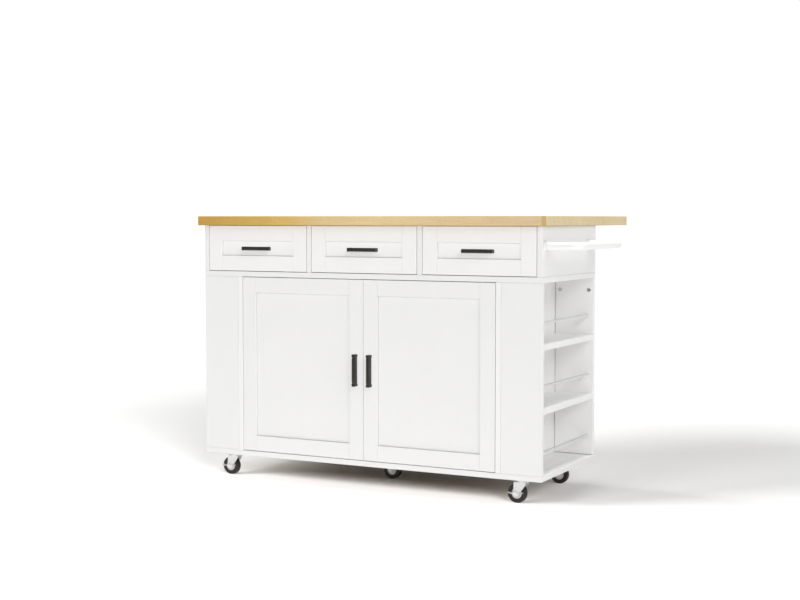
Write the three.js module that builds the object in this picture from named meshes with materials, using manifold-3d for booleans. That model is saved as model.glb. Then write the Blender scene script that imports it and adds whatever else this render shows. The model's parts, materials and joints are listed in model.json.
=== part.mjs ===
// A drop leaf kitchen island: a white cabinet on five casters with a solid wood worktop.
//
// Units are millimetres and +Z is up. The drawers and doors face -Y. Sizes are worked out in the
// cabinet's own frame: X = 0 on its centre line, Y = 0 on its front plane, Z = 0 on the floor.
// The last lines move that frame so that the origin is under the centre of the whole object.
import * as THREE from 'three';
import { mergeVertices } from 'three/addons/utils/BufferGeometryUtils.js';
import Module from 'manifold-3d';

const wasm = await Module();
wasm.setup();

// ---------------------------------------------------------------- driving dimensions

const bodyWidth = 1280;
const bodyDepth = 488;
const totalHeight = 921;
const boardThickness = 18;
const jointGap = 0.3; // between pieces that touch
const frontGap = 2.4; // round every door and drawer front

// worktop and drop leaf
const topThickness = 32;
const frontOverhang = 26;
const sideOverhang = 11;
const backOverhang = 30;
const leafDepth = 265;
const leafSeam = 2;

// carcass
const drawerOpeningHeight = 160;
const columnWidth = 140; // side niches, measured from the body's side to the partition
const middleBayHeight = 185; // clear height of the middle niche bay
const lowerBackThickness = 12;
const shelfSetback = 6; // behind the closed doors

// doors and drawer fronts: a frame round a recessed panel
const doorFrameWidth = 55;
const drawerStileWidth = 54;
const drawerRailWidth = 52;
const panelRecess = 5.2;

// drawer boxes
const drawerWall = 12;
const drawerBottomThickness = 6;
const drawerBottomLift = 10;
const drawerBoxHeight = 110;
const drawerBoxLift = 22; // above the mid board
const drawerRearClearance = 30;
const runnerClearance = 13; // each side of a drawer box

// pulls: a T section, with a block at each end
const pullLength = 108;
const pullWidth = 12;
const pullProjection = 22;
const pullCapDepth = 14;
const pullStemWidth = 8;
const pullBlockLength = 10;
const pullBlockProud = 0.4; // past the bar's sides
const pullChamfer = 2.7;
const pullFromDoorEdge = 26;

// towel bar on the right side
const towelTubeDiameter = 25;
const towelReach = 115; // side panel to the tube's axis
const towelFrontInset = 22; // front plane to the front leg's axis
const towelSpacing = 384; // front leg's axis to the rear one's
const towelDrop = 62; // worktop underside to the tube's axis
const towelBendRadius = 30;
const towelTubeSteps = 46; // rings along the tube
const towelTubeSides = 8; // round half of its section
const flangeDiameter = 32;
const flangeThickness = 7;

// niche guard rails
const railDiameter = 10;
const railHeight = 66; // above the surface it guards
const railInset = 21; // from the body's side

// leaf hinge, on the underside of the seam
const hingeLeafWidth = 25;
const hingeLeafThickness = 1.2;
const hingeBarrelRadius = 3.5;
const hingeEndMargin = 30;
const knuckleCount = 21;
const knuckleGap = 0.4;
const knuckleClearance = 0.6;

// folding stays under the leaf
const staySpacing = 800;
const stayPivotDrop = 85; // hinge axis to the stay's lower pivot
const stayArmWidth = 11;
const stayArmThickness = 5;
const stayPinDiameter = 6;
const stayRollerWidth = 8;
const stayRunningGap = 0.5;
const stayRollerGap = 0.6; // roller to the rail's web
const stayRailWall = 1.5;
const stayRailInside = 10;
const stayRailHeight = 13;
const stayRailOverrun = 11; // rail past the roller at each end of its run
const stayRailEndMargin = 8; // rail to the leaf's free edge
const stayPlateThickness = 2;
const stayPlateWidth = 34;
const stayPlateHeight = 64;

// casters
const casterInsetX = 87; // body side to the swivel axis
const casterInsetY = 57;
const casterTrail = 16.5; // swivel axis to the axle
const wheelRadius = 31.5;
const tyreWidth = 20;
const hubWidth = 22;
const hubRadius = 17;
const hubBossRadius = 8.5;
const hubRecess = 2; // tyre's side face to the hub's
const tyreShoulder = 4;
const wheelSides = 28; // the rim is a polygon that rests on a flat side
const axleRadius = 4;
const axleClearance = 0.4;
const forkWall = 2.5;
const forkInside = 24;
const forkWheelGap = 3.5; // over the top of the wheel
const crownRadius = 20.5;
const crownHeight = 10; // above the fork's top
const forkLegEndRadius = 12;
const forkTopFront = 9; // front edge of the fork's top, ahead of the axle
const forkFootLift = 9; // lower edge of the crown's skirt, below the fork's top
const boltHeadRadius = 6.5;
const boltHeadThickness = 3;
const plateThickness = 2.5; // room for the caster's mounting plate
const swivelClearance = 0.5;

// brake pedals on the two front casters
const pedalLength = 53;
const pedalThickness = 1.8;
const pedalTabWidth = 13;
const pedalTabLength = 15;
const pedalTabTilt = THREE.MathUtils.degToRad(14);
const pedalCheekRadius = 8;
const pedalPlateTop = 3; // over and under the axle line
const pedalPlateBottom = -2;

// ---------------------------------------------------------------- finishes

function finish(color, roughness, metalness) {
  return new THREE.MeshStandardMaterial({ color, roughness, metalness });
}

const whitePaint = finish(0xf2f1ee, 0.45, 0);
const whiteTube = finish(0xf7f7f5, 0.3, 0);
const warmWood = finish(0xd9bd8c, 0.5, 0);
const drawerBoard = finish(0xe9e4da, 0.6, 0);
const darkMetal = finish(0x2f2a26, 0.35, 0.9);
const zinc = finish(0xc9ccd0, 0.35, 1);
const tyreRubber = finish(0x1c1b1a, 0.7, 0);

// ---------------------------------------------------------------- geometry helpers

/** A box between two ends on each axis. */
function block([x0, x1], [y0, y1], [z0, z1]) {
  const geometry = new THREE.BoxGeometry(x1 - x0, y1 - y0, z1 - z0);
  return geometry.translate((x0 + x1) / 2, (y0 + y1) / 2, (z0 + z1) / 2);
}

/** A cylinder lying along Y between two ends. */
function rodAlongY(radius, [y0, y1], segments) {
  const geometry = new THREE.CylinderGeometry(radius, radius, y1 - y0, segments);
  return geometry.translate(0, (y0 + y1) / 2, 0);
}

/** A cylinder lying along X between two ends. */
function rodAlongX(radius, [x0, x1], segments) {
  const geometry = new THREE.CylinderGeometry(radius, radius, x1 - x0, segments);
  return geometry.rotateZ(Math.PI / 2).translate((x0 + x1) / 2, 0, 0);
}

/** A cylinder standing along Z between two ends. */
function rodAlongZ(radius, [z0, z1], segments) {
  const geometry = new THREE.CylinderGeometry(radius, radius, z1 - z0, segments);
  return geometry.rotateX(Math.PI / 2).translate(0, 0, (z0 + z1) / 2);
}

/** An outline drawn in X and Z, given a thickness between two Y values. */
function plateXZ(shape, [y0, y1], curveSegments = 12) {
  const geometry = new THREE.ExtrudeGeometry(shape, { depth: y1 - y0, bevelEnabled: false, curveSegments });
  return geometry.rotateX(Math.PI / 2).translate(0, y1, 0);
}

/** An outline drawn in Y and Z, given a thickness between two X values. */
function plateYZ(shape, [x0, x1], curveSegments = 12) {
  const geometry = new THREE.ExtrudeGeometry(shape, { depth: x1 - x0, bevelEnabled: false, curveSegments });
  return geometry.rotateZ(Math.PI / 2).rotateY(Math.PI / 2).translate(x0, 0, 0);
}

function toSolid(geometry) {
  const bare = geometry.clone();
  bare.deleteAttribute('normal');
  bare.deleteAttribute('uv');
  const merged = mergeVertices(bare, 1e-4);
  const mesh = new wasm.Mesh({
    numProp: 3,
    vertProperties: new Float32Array(merged.attributes.position.array),
    triVerts: new Uint32Array(merged.index.array),
  });
  return new wasm.Manifold(mesh);
}

function toGeometry(solid) {
  const { vertProperties, triVerts } = solid.getMesh();
  const geometry = new THREE.BufferGeometry();
  geometry.setAttribute('position', new THREE.BufferAttribute(vertProperties, 3));
  geometry.setIndex(new THREE.BufferAttribute(triVerts, 1));
  geometry.computeVertexNormals();
  return geometry;
}

/** Joins the first list of geometries and cuts the second list away. */
function carve(kept, removed = []) {
  let solid = toSolid(kept[0]);
  for (const geometry of kept.slice(1)) {
    solid = solid.add(toSolid(geometry));
  }
  for (const geometry of removed) {
    solid = solid.subtract(toSolid(geometry));
  }
  return toGeometry(solid);
}

function piece(name, geometry, material) {
  const mesh = new THREE.Mesh(geometry, material);
  mesh.name = name;
  return mesh;
}

/** A plain board between two ends on each axis, centred on its own origin. */
function board(name, material, [x0, x1], [y0, y1], [z0, z1]) {
  const mesh = piece(name, new THREE.BoxGeometry(x1 - x0, y1 - y0, z1 - z0), material);
  mesh.position.set((x0 + x1) / 2, (y0 + y1) / 2, (z0 + z1) / 2);
  return mesh;
}

/** The same board on the left (side = -1) or the right (side = 1) of the centre line. */
function sided(side, [inner, outer]) {
  return side > 0 ? [inner, outer] : [-outer, -inner];
}

const sideNames = [[-1, 'left'], [1, 'right']];

// ---------------------------------------------------------------- levels and faces

const halfWidth = bodyWidth / 2;
const forkTop = 2 * wheelRadius + forkWheelGap + forkWall;
const crownTop = forkTop + crownHeight;
const casterHeight = crownTop + swivelClearance + plateThickness; // to the bottom board
const bottomTop = casterHeight + boardThickness;
const carcassTop = totalHeight - topThickness;
const midTop = carcassTop - drawerOpeningHeight;
const midUnder = midTop - boardThickness;
const nicheFace = halfWidth - columnWidth; // outer face of a partition
const cabinetFace = nicheFace - boardThickness; // its inner face
const backFace = bodyDepth - boardThickness; // inner face of the back boards
const drawerOpeningWidth = (bodyWidth - 4 * boardThickness) / 3;
const drawerPitch = drawerOpeningWidth + boardThickness;
const topBackEdge = bodyDepth + backOverhang;
const leafFrontEdge = topBackEdge + leafSeam;
const leafBackEdge = leafFrontEdge + leafDepth;
const hingeY = topBackEdge + leafSeam / 2;
const hingeZ = carcassTop - jointGap - hingeBarrelRadius;

// ---------------------------------------------------------------- worktop, leaf and leaf hinge

function makeTop() {
  const group = new THREE.Group();
  const width = [-halfWidth - sideOverhang, halfWidth + sideOverhang];
  const height = [carcassTop, totalHeight];
  group.add(board('worktop', warmWood, width, [-frontOverhang, topBackEdge], height));
  group.add(board('drop_leaf', warmWood, width, [leafFrontEdge, leafBackEdge], height));
  return group;
}

/** One half of the long hinge; side -1 is screwed to the worktop, side 1 to the leaf. */
function hingeHalf(side) {
  const length = bodyWidth + 2 * (sideOverhang - hingeEndMargin);
  const pitch = length / knuckleCount;
  const sheet = [-hingeLeafThickness, 0];
  const nearEdge = hingeBarrelRadius + knuckleClearance;
  const kept = [block([-length / 2, length / 2], sided(side, [nearEdge, hingeLeafWidth]), sheet)];
  const firstKnuckle = side < 0 ? 0 : 1;
  for (let k = firstKnuckle; k < knuckleCount; k += 2) {
    const start = -length / 2 + k * pitch + knuckleGap / 2;
    const ends = [start, start + pitch - knuckleGap];
    kept.push(rodAlongX(hingeBarrelRadius, ends, 12).translate(0, 0, -hingeBarrelRadius));
    kept.push(block(ends, sided(side, [0, nearEdge + 1]), sheet));
  }
  return carve(kept);
}

function makeLeafHinge() {
  const group = new THREE.Group();
  group.add(piece('leaf_hinge_fixed', hingeHalf(-1), zinc));
  group.add(piece('leaf_hinge_moving', hingeHalf(1), zinc));
  group.position.set(0, hingeY, carcassTop - jointGap);
  return group;
}

// ---------------------------------------------------------------- folding stays

// The arm turns on the wall bracket, and its roller runs in the rail under the leaf. The arm is
// as long as the leaf allows: when the leaf hangs, the arm hangs with it, inside the rail.
const rollerRadius = stayArmWidth / 2;
const rollerDepth = jointGap + stayRailWall + stayRollerGap + rollerRadius; // under the leaf
const hangingOffset = carcassTop - hingeZ; // leaf underside to the hinge axis
const stayPivotY = hingeY + hangingOffset - rollerDepth;
const stayPivotZ = hingeZ - stayPivotDrop;
const railEnd = leafSeam / 2 + leafDepth - stayRailEndMargin;
const stayArmLength = railEnd - stayRailOverrun - stayPivotDrop;
const stayAngle = Math.acos((carcassTop - rollerDepth - stayPivotZ) / stayArmLength);
const railStart = stayPivotY + stayArmLength * Math.sin(stayAngle) - hingeY - stayRailOverrun;

/** A bar with round ends from the origin up to a height, drawn in Y and Z. */
function roundEndedBar(width, height) {
  const shape = new THREE.Shape();
  shape.absarc(0, 0, width / 2, -Math.PI, 0, false);
  shape.absarc(0, height, width / 2, 0, Math.PI, false);
  return shape;
}

function stayArm() {
  const halfArm = stayArmThickness / 2;
  const bar = plateYZ(roundEndedBar(stayArmWidth, stayArmLength), [-halfArm, halfArm]);
  const halfRoller = stayRollerWidth / 2;
  const roller = rodAlongX(rollerRadius, [-halfRoller, halfRoller], 24).translate(0, 0, stayArmLength);
  const bore = rodAlongX(stayPinDiameter / 2 + axleClearance, [-stayArmThickness, stayArmThickness], 24);
  return carve([bar, roller], [bore]);
}

function stayBracket() {
  const wall = bodyDepth + jointGap - stayPivotY; // the plate's back, seen from the pivot
  const halfPlate = stayPlateWidth / 2;
  const plateHeight = [-stayPlateHeight / 2, stayPlateHeight / 2];
  const kept = [block([-halfPlate, halfPlate], [wall, wall + stayPlateThickness], plateHeight)];
  const earRadius = stayArmWidth / 2;
  const ear = new THREE.Shape();
  ear.moveTo(wall + stayPlateThickness / 2, -earRadius * 2);
  ear.lineTo(0, -earRadius);
  ear.absarc(0, 0, earRadius, -Math.PI / 2, Math.PI / 2, false);
  ear.lineTo(wall + stayPlateThickness / 2, earRadius * 2);
  const inner = stayArmThickness / 2 + stayRunningGap;
  for (const [side] of sideNames) {
    kept.push(plateYZ(ear, sided(side, [inner, inner + stayPlateThickness])));
  }
  const pinEnd = inner + 2 * stayPlateThickness;
  kept.push(rodAlongX(stayPinDiameter / 2, [-pinEnd, pinEnd], 24));
  return carve(kept);
}

function stayRail() {
  const outside = stayRailInside / 2 + stayRailWall;
  const channel = block([-outside, outside], [railStart, railEnd], [-stayRailHeight, 0]);
  const hollow = block(
    [-stayRailInside / 2, stayRailInside / 2],
    [railStart - 1, railEnd + 1],
    [-stayRailHeight - 1, -stayRailWall],
  );
  return carve([channel], [hollow]);
}

function makeStay(side, name) {
  const group = new THREE.Group();
  const bracket = piece(`stay_bracket_${name}`, stayBracket(), zinc);
  bracket.position.set(0, stayPivotY, stayPivotZ);
  const arm = piece(`stay_arm_${name}`, stayArm(), zinc);
  arm.position.copy(bracket.position);
  arm.rotation.x = -stayAngle;
  const rail = piece(`stay_rail_${name}`, stayRail(), zinc);
  rail.position.set(0, hingeY, carcassTop - jointGap);
  group.add(bracket, arm, rail);
  group.position.x = (side * staySpacing) / 2;
  return group;
}

// ---------------------------------------------------------------- carcass

function makeCarcass() {
  const group = new THREE.Group();
  const fullWidth = [-halfWidth, halfWidth];
  const fullDepth = [0, bodyDepth];
  const backDepth = [backFace, bodyDepth];
  const toBack = [0, backFace - jointGap];
  const upperHeight = [midTop + jointGap, carcassTop - jointGap];
  const lowerHeight = [bottomTop + jointGap, midUnder - jointGap];

  group.add(board('bottom_board', whitePaint, fullWidth, fullDepth, [casterHeight, bottomTop]));
  group.add(board('mid_board', whitePaint, fullWidth, fullDepth, [midUnder, midTop]));
  group.add(board('upper_back', whitePaint, fullWidth, backDepth, upperHeight));
  const betweenPartitions = [-cabinetFace + jointGap, cabinetFace - jointGap];
  const lowerBackDepth = [bodyDepth - lowerBackThickness, bodyDepth];
  group.add(board('lower_back', whitePaint, betweenPartitions, lowerBackDepth, lowerHeight));

  const cabinetShelfUnder = (bottomTop + midUnder - boardThickness) / 2;
  const cabinetShelfHeight = [cabinetShelfUnder, cabinetShelfUnder + boardThickness];
  const shelfDepth = [boardThickness + shelfSetback, bodyDepth - lowerBackThickness - jointGap];
  group.add(board('cabinet_shelf', whitePaint, betweenPartitions, shelfDepth, cabinetShelfHeight));

  const outerBayHeight = (midUnder - bottomTop - middleBayHeight - 2 * boardThickness) / 2;
  const lowerShelf = bottomTop + outerBayHeight;
  const upperShelf = lowerShelf + boardThickness + middleBayHeight;
  for (const [side, name] of sideNames) {
    const sideWall = sided(side, [halfWidth - boardThickness, halfWidth]);
    group.add(board(`upper_side_${name}`, whitePaint, sideWall, toBack, upperHeight));
    const divider = sided(side, [drawerOpeningWidth / 2, drawerOpeningWidth / 2 + boardThickness]);
    group.add(board(`drawer_divider_${name}`, whitePaint, divider, toBack, upperHeight));
    const partition = sided(side, [cabinetFace, nicheFace]);
    group.add(board(`partition_${name}`, whitePaint, partition, fullDepth, lowerHeight));
    const column = sided(side, [nicheFace + jointGap, halfWidth]);
    group.add(board(`column_front_${name}`, whitePaint, column, [0, boardThickness], lowerHeight));
    group.add(board(`column_back_${name}`, whitePaint, column, backDepth, lowerHeight));
    const nicheDepth = [boardThickness + jointGap, backFace - jointGap];
    for (const [level, under] of [['lower', lowerShelf], ['upper', upperShelf]]) {
      const height = [under, under + boardThickness];
      group.add(board(`niche_shelf_${name}_${level}`, whitePaint, column, nicheDepth, height));
    }
  }

  const railDepth = [boardThickness + jointGap, backFace - jointGap];
  const surfaces = [
    ['lower', bottomTop],
    ['middle', lowerShelf + boardThickness],
    ['upper', upperShelf + boardThickness],
  ];
  for (const [level, surface] of surfaces) {
    const rail = piece(`niche_rail_${level}`, rodAlongY(railDiameter / 2, railDepth, 16), whiteTube);
    rail.position.set(halfWidth - railInset, 0, surface + railHeight);
    group.add(rail);
  }
  return group;
}

// ---------------------------------------------------------------- doors, drawers and pulls

/** A front with a recessed panel, centred in X and Z, with its face on Y = 0. */
function framedFront(width, height, stile, rail) {
  const slab = block([-width / 2, width / 2], [0, boardThickness], [-height / 2, height / 2]);
  const between = [stile - width / 2, width / 2 - stile];
  const recess = block(between, [-1, panelRecess], [rail - height / 2, height / 2 - rail]);
  return carve([slab], [recess]);
}

/** A pull that lies along X, with its back on Y = 0. */
function pullGeometry() {
  const cap = pullWidth / 2;
  const stem = pullStemWidth / 2;
  const shape = new THREE.Shape();
  shape.moveTo(-stem, 0);
  shape.lineTo(-stem, pullProjection - pullCapDepth);
  shape.lineTo(-cap, pullProjection - pullCapDepth);
  shape.lineTo(-cap, pullProjection - pullChamfer);
  shape.lineTo(-cap + pullChamfer, pullProjection);
  shape.lineTo(cap - pullChamfer, pullProjection);
  shape.lineTo(cap, pullProjection - pullChamfer);
  shape.lineTo(cap, pullProjection - pullCapDepth);
  shape.lineTo(stem, pullProjection - pullCapDepth);
  shape.lineTo(stem, 0);
  const barLength = pullLength - pullBlockLength; // each end stops inside its block
  const bar = new THREE.ExtrudeGeometry(shape, { depth: barLength, bevelEnabled: false });
  bar.translate(0, 0, -barLength / 2).rotateY(Math.PI / 2).rotateX(Math.PI);
  const kept = [bar];
  for (const [side] of sideNames) {
    const ends = sided(side, [pullLength / 2 - pullBlockLength, pullLength / 2]);
    const blockHalf = cap + pullBlockProud;
    kept.push(block(ends, [pullBlockProud - pullProjection, 0], [-blockHalf, blockHalf]));
  }
  return carve(kept);
}

function makeDoors() {
  const group = new THREE.Group();
  const width = cabinetFace - 1.5 * frontGap;
  const height = midUnder - bottomTop - 2 * frontGap;
  for (const [side, name] of sideNames) {
    const leaf = new THREE.Group();
    leaf.position.set(side * (frontGap / 2 + width / 2), 0, (midUnder + bottomTop) / 2);
    const geometry = framedFront(width, height, doorFrameWidth, doorFrameWidth);
    const door = piece(`door_${name}`, geometry, whitePaint);
    const pull = piece(`door_pull_${name}`, pullGeometry(), darkMetal);
    pull.rotation.y = Math.PI / 2;
    pull.position.set(side * (pullFromDoorEdge - width / 2), -jointGap, 0);
    leaf.add(door, pull);
    group.add(leaf);
  }
  return group;
}

/** A drawer box with its floor let in above the lower edge; Y = 0 is its front and Z = 0 its foot. */
function drawerBox() {
  const halfBox = drawerOpeningWidth / 2 - runnerClearance;
  const depth = bodyDepth - 2 * boardThickness - jointGap - drawerRearClearance;
  const inside = [-halfBox + drawerWall, halfBox - drawerWall];
  const insideDepth = [drawerWall, depth - drawerWall];
  const outer = block([-halfBox, halfBox], [0, depth], [0, drawerBoxHeight]);
  const cavity = block(inside, insideDepth, [drawerBottomLift + drawerBottomThickness, drawerBoxHeight + 1]);
  const underside = block(inside, insideDepth, [-1, drawerBottomLift]);
  return carve([outer], [cavity, underside]);
}

function makeDrawers() {
  const group = new THREE.Group();
  const width = drawerOpeningWidth - 2 * frontGap;
  const height = drawerOpeningHeight - 2 * frontGap;
  for (const [place, name] of [[-1, 'left'], [0, 'centre'], [1, 'right']]) {
    const drawer = new THREE.Group();
    drawer.position.set(place * drawerPitch, 0, midTop);
    const geometry = framedFront(width, height, drawerStileWidth, drawerRailWidth);
    const front = piece(`drawer_front_${name}`, geometry, whitePaint);
    front.position.z = drawerOpeningHeight / 2;
    const box = piece(`drawer_box_${name}`, drawerBox(), drawerBoard);
    box.position.set(0, boardThickness + jointGap, drawerBoxLift);
    const pull = piece(`drawer_pull_${name}`, pullGeometry(), darkMetal);
    pull.position.set(0, panelRecess - jointGap, drawerOpeningHeight / 2);
    drawer.add(front, box, pull);
    group.add(drawer);
  }
  return group;
}

// ---------------------------------------------------------------- towel bar

/** A bend of a quarter turn in the X-Y plane. */
class QuarterBend extends THREE.Curve {
  constructor(centreX, centreY, radius, startAngle) {
    super();
    this.centreX = centreX;
    this.centreY = centreY;
    this.radius = radius;
    this.startAngle = startAngle;
  }

  getPoint(t, target = new THREE.Vector3()) {
    const angle = this.startAngle + (t * Math.PI) / 2;
    return target.set(
      this.centreX + this.radius * Math.cos(angle),
      this.centreY + this.radius * Math.sin(angle),
      0,
    );
  }
}

function towelTube(length) {
  const start = flangeThickness + 2 * jointGap;
  const bendX = towelReach - towelBendRadius;
  const path = new THREE.CurvePath();
  path.add(new THREE.LineCurve3(new THREE.Vector3(start, 0, 0), new THREE.Vector3(bendX, 0, 0)));
  path.add(new QuarterBend(bendX, towelBendRadius, towelBendRadius, -Math.PI / 2));
  path.add(new THREE.LineCurve3(
    new THREE.Vector3(towelReach, towelBendRadius, 0),
    new THREE.Vector3(towelReach, length - towelBendRadius, 0),
  ));
  path.add(new QuarterBend(bendX, length - towelBendRadius, towelBendRadius, 0));
  path.add(new THREE.LineCurve3(new THREE.Vector3(bendX, length, 0), new THREE.Vector3(start, length, 0)));
  const section = new THREE.Shape();
  section.absarc(0, 0, towelTubeDiameter / 2, 0, 2 * Math.PI, false);
  const settings = { steps: towelTubeSteps, curveSegments: towelTubeSides, extrudePath: path };
  return new THREE.ExtrudeGeometry(section, settings);
}

function makeTowelBar() {
  const group = new THREE.Group();
  group.add(piece('towel_bar', towelTube(towelSpacing), whiteTube));
  for (const [y, name] of [[0, 'front'], [towelSpacing, 'rear']]) {
    const disc = rodAlongX(flangeDiameter / 2, [jointGap, jointGap + flangeThickness], 32);
    const flange = piece(`towel_flange_${name}`, disc, whiteTube);
    flange.position.y = y;
    group.add(flange);
  }
  group.position.set(halfWidth, towelFrontInset, carcassTop - towelDrop);
  return group;
}

// ---------------------------------------------------------------- casters

const forkOutside = forkInside / 2 + forkWall;
const pedalFace = forkOutside + jointGap;

/** The wheel turns on Y. */
function wheelGeometry() {
  const rim = wheelRadius / Math.cos(Math.PI / wheelSides);
  const hubFace = tyreWidth / 2 - hubRecess;
  const bore = axleRadius + axleClearance;
  const half = [
    [bore, hubWidth / 2],
    [hubBossRadius, hubWidth / 2],
    [hubBossRadius + hubRecess, hubFace],
    [hubRadius, hubFace],
    [hubRadius + hubRecess, tyreWidth / 2],
    [rim - tyreShoulder, tyreWidth / 2],
    [rim, tyreWidth / 2 - tyreShoulder],
  ];
  const profile = [];
  for (const [radius, y] of half) {
    profile.push(new THREE.Vector2(radius, -y));
  }
  for (const [radius, y] of half.slice().reverse()) {
    profile.push(new THREE.Vector2(radius, y));
  }
  profile.push(profile[0].clone());
  return new THREE.LatheGeometry(profile, wheelSides, Math.PI / wheelSides);
}

/** The fork from the swivel axis (X = 0) to the axle, with Z = 0 on the floor. */
function forkGeometry(hasPedal) {
  const front = -casterTrail - forkTopFront;
  const leg = new THREE.Shape();
  leg.moveTo(front, forkTop);
  leg.lineTo(-casterTrail - forkLegEndRadius, wheelRadius);
  leg.absarc(-casterTrail, wheelRadius, forkLegEndRadius, Math.PI, 1.8 * Math.PI, false);
  leg.lineTo(crownRadius, forkTop - forkFootLift);
  leg.lineTo(crownRadius, forkTop);
  const kept = [block([front, crownRadius], [-forkOutside, forkOutside], [forkTop - forkWall, forkTop])];
  for (const [side] of sideNames) {
    kept.push(plateXZ(leg, sided(side, [forkInside / 2, forkOutside])));
  }
  kept.push(rodAlongZ(crownRadius, [forkTop - 1, crownTop], 32));
  const frontEnd = (hasPedal ? pedalFace + pedalThickness + jointGap : forkOutside) + boltHeadThickness;
  const backEnd = forkOutside + boltHeadThickness;
  const shank = rodAlongY(axleRadius, [-frontEnd, backEnd], 16);
  const frontHead = rodAlongY(boltHeadRadius, [-frontEnd, -frontEnd + boltHeadThickness], 6);
  const backHead = rodAlongY(boltHeadRadius, [forkOutside - 0.5, backEnd], 6);
  for (const part of [shank, frontHead, backHead]) {
    kept.push(part.translate(-casterTrail, 0, wheelRadius));
  }
  return carve(kept);
}

/** A see-saw brake pedal on the axle, outside the fork's front leg; the axle is at the origin. */
function pedalGeometry() {
  const reach = pedalLength / 2 - pedalTabLength + 2;
  const cheek = new THREE.Shape();
  cheek.moveTo(-reach, pedalPlateBottom);
  cheek.absarc(0, 0, pedalCheekRadius, -0.75 * Math.PI, -0.25 * Math.PI, false);
  cheek.lineTo(reach, pedalPlateBottom);
  cheek.lineTo(reach, pedalPlateTop);
  cheek.lineTo(-reach, pedalPlateTop);
  const kept = [plateXZ(cheek, [-pedalFace - pedalThickness, -pedalFace])];
  for (const [side] of sideNames) {
    const tabDepth = [-pedalFace - pedalTabWidth, -pedalFace];
    const tab = block(sided(side, [0, pedalTabLength]), tabDepth, [0, pedalThickness]);
    tab.rotateY(-side * pedalTabTilt);
    kept.push(tab.translate(side * (pedalLength / 2 - pedalTabLength), 0, 0));
  }
  const bore = rodAlongY(axleRadius + axleClearance, [-pedalFace - pedalTabWidth, 0], 24);
  return carve(kept, [bore]);
}

function makeCaster(name, x, y, hasPedal) {
  const group = new THREE.Group();
  group.add(piece(`caster_fork_${name}`, forkGeometry(hasPedal), zinc));
  const axle = new THREE.Group();
  axle.position.set(-casterTrail, 0, wheelRadius);
  axle.add(piece(`caster_wheel_${name}`, wheelGeometry(), tyreRubber));
  if (hasPedal) {
    axle.add(piece(`brake_pedal_${name}`, pedalGeometry(), zinc));
  }
  group.add(axle);
  group.position.set(x, y, 0);
  return group;
}

function makeCasters() {
  const group = new THREE.Group();
  for (const [side, name] of sideNames) {
    const x = side * (halfWidth - casterInsetX);
    group.add(makeCaster(`front_${name}`, x, casterInsetY, true));
    group.add(makeCaster(`rear_${name}`, x, bodyDepth - casterInsetY, false));
  }
  group.add(makeCaster('centre', 0, bodyDepth / 2, false));
  return group;
}

// ---------------------------------------------------------------- the whole island

const island = new THREE.Group();
island.add(makeTop(), makeLeafHinge(), makeCarcass(), makeDoors(), makeDrawers());
island.add(makeTowelBar(), makeCasters());
for (const [side, name] of sideNames) {
  island.add(makeStay(side, name));
}

const leftEnd = -halfWidth - sideOverhang;
const rightEnd = halfWidth + towelReach + towelTubeDiameter / 2;
island.position.set(-(leftEnd + rightEnd) / 2, -(leafBackEdge - frontOverhang) / 2, 0);
island.updateMatrixWorld(true);

const group = new THREE.Group();
group.add(island);

export default group;
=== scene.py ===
"""The looks of a drop leaf kitchen island, built round its CAD frame.

Metres, +Z up. The drawers and doors face -Y, the drop leaf is on the +Y side and the towel bar is
on the +X side. Every piece takes its place from a CAD node's box or from a joint.
"""
import json
import math

import bmesh
import bpy
from mathutils import Matrix, Vector


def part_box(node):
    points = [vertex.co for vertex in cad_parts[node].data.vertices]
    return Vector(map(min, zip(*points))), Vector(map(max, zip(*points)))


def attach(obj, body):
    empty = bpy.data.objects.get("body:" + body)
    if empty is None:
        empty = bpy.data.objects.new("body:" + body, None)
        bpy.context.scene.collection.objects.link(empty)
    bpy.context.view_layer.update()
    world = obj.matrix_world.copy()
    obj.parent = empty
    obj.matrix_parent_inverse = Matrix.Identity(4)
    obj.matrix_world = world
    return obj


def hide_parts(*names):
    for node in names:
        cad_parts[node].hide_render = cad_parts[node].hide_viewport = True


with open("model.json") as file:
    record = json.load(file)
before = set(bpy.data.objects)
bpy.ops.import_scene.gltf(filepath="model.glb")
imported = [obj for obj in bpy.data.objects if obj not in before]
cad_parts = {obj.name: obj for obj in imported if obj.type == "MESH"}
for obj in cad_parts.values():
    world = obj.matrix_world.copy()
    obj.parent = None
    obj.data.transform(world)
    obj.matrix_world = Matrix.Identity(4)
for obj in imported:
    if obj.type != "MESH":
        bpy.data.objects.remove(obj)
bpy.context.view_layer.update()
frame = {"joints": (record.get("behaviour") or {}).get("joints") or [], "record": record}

MM = 0.001
UP = Vector((0, 0, 1))
DOWN = Vector((0, 0, -1))
FRONT = Vector((0, -1, 0))
BACK = Vector((0, 1, 0))
RIGHT = Vector((1, 0, 0))
SIDES = ((-1, "left"), (1, "right"))
DRAWERS = ("left", "centre", "right")
CASTERS = ("front_left", "front_right", "rear_left", "rear_right", "centre")

record = frame["record"]
bodies = record["behaviour"]["bodies"]
slots = {part["node"]: part["material_slot"] for part in record["subparts"]}
body_of_node = {node: body for body, nodes in bodies.items() for node in nodes}
pivots = {joint["name"]: Vector(joint["pos_m"]) for joint in frame["joints"] if "pos_m" in joint}

BOARD_EDGE = 0.8 * MM  # rounding of a board's edges
METAL_EDGE = 0.4 * MM
SHARP_ANGLE = math.radians(35)  # faces that meet at less are shaded as one

scene = bpy.context.scene


# ---- mesh building


def placed(at, axis):
    """A frame with its origin at a point and its local Z along an axis."""
    turn = Vector(axis).to_track_quat("Z", "Y").to_matrix().to_4x4()
    return Matrix.Translation(at) @ turn


def oriented(at, x_axis, y_axis, z_axis):
    """A frame with its origin at a point and its local axes along three directions."""
    return Matrix.Translation(at) @ Matrix((x_axis, y_axis, z_axis)).transposed().to_4x4()


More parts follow.
